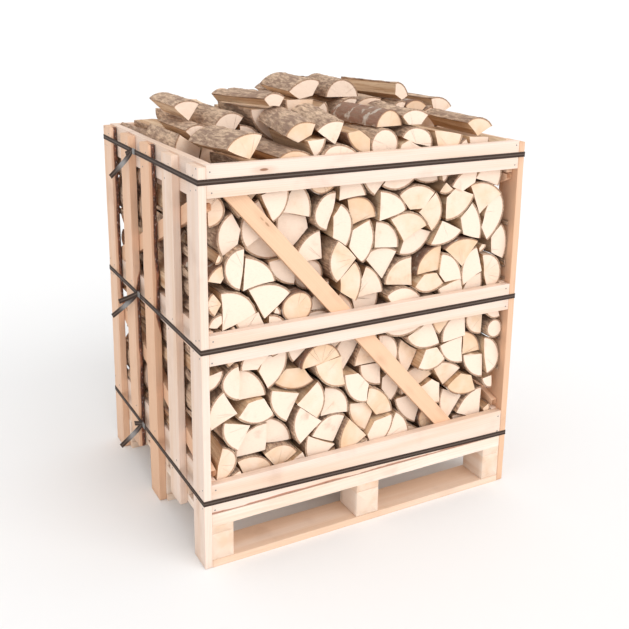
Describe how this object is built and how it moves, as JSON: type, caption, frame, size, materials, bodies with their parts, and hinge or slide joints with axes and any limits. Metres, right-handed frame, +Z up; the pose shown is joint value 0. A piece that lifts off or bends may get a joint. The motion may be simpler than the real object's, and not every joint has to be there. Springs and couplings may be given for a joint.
{
  "type": "birch firewood pallet crate",
  "caption": "Slatted wooden pallet crate heaped with split birch firewood and tied round with flat straps, for forklift handling and storage.",
  "frame": {"origin": "on the floor under the middle of the pallet, in the underside of the middle bottom board", "axes": "+X to the right along the front, +Y from the front to the back, +Z up"},
  "size_m": [1.0479, 0.8228, 1.2383],
  "materials": {
    "sawn_board": "fresh sawn softwood, cream with pinkish streaks, some bark left on the edges",
    "pallet_board": "rough sawn softwood",
    "brace_board": "golden sawn softwood lath",
    "split_log": "sawn and split log wood with grey-brown furrowed bark",
    "strap_band": "dark embossed polypropylene strapping",
    "seal_steel": "crimped steel"
  },
  "bodies": {
    "root": {"bottom_board_front": "pallet_board", "block_front_left": "pallet_board", "block_front_middle": "pallet_board", "block_front_right": "pallet_board", "bottom_board_middle": "pallet_board", "block_middle_left": "pallet_board", "block_middle_middle": "pallet_board", "block_middle_right": "pallet_board", "bottom_board_back": "pallet_board", "block_back_left": "pallet_board", "block_back_middle": "pallet_board", "block_back_right": "pallet_board", "stringer_left": "pallet_board", "stringer_middle": "pallet_board", "stringer_right": "pallet_board", "deck_board_1": "pallet_board", "deck_board_2": "pallet_board", "deck_board_3": "pallet_board", "deck_board_4": "pallet_board", "deck_board_5": "pallet_board", "slat_left_1": "sawn_board", "slat_left_2": "sawn_board", "slat_left_3": "sawn_board", "slat_left_4": "sawn_board", "slat_left_5": "sawn_board", "rail_left_bottom": "sawn_board", "rail_left_middle": "sawn_board", "rail_left_top": "sawn_board", "brace_left_upper": "brace_board", "brace_left_lower": "brace_board", "slat_right_1": "sawn_board", "slat_right_2": "sawn_board", "slat_right_3": "sawn_board", "slat_right_4": "sawn_board", "slat_right_5": "sawn_board", "rail_right_bottom": "sawn_board", "rail_right_middle": "sawn_board", "rail_right_top": "sawn_board", "brace_right_upper": "brace_board", "brace_right_lower": "brace_board", "rail_front_bottom": "sawn_board", "rail_front_middle": "sawn_board", "rail_front_top": "sawn_board", "brace_front": "brace_board", "rail_back_bottom": "sawn_board", "rail_back_middle": "sawn_board", "rail_back_top": "sawn_board", "brace_back": "brace_board", "strap_top": "strap_band", "seal_top": "seal_steel", "strap_middle": "strap_band", "seal_middle": "seal_steel", "strap_bottom": "strap_band", "seal_bottom": "seal_steel", "log_row_front": "split_log", "top_log_front": "split_log", "log_row_middle": "split_log", "top_log_middle": "split_log", "log_row_back": "split_log", "top_log_back": "split_log"}
  },
  "joints": []
}
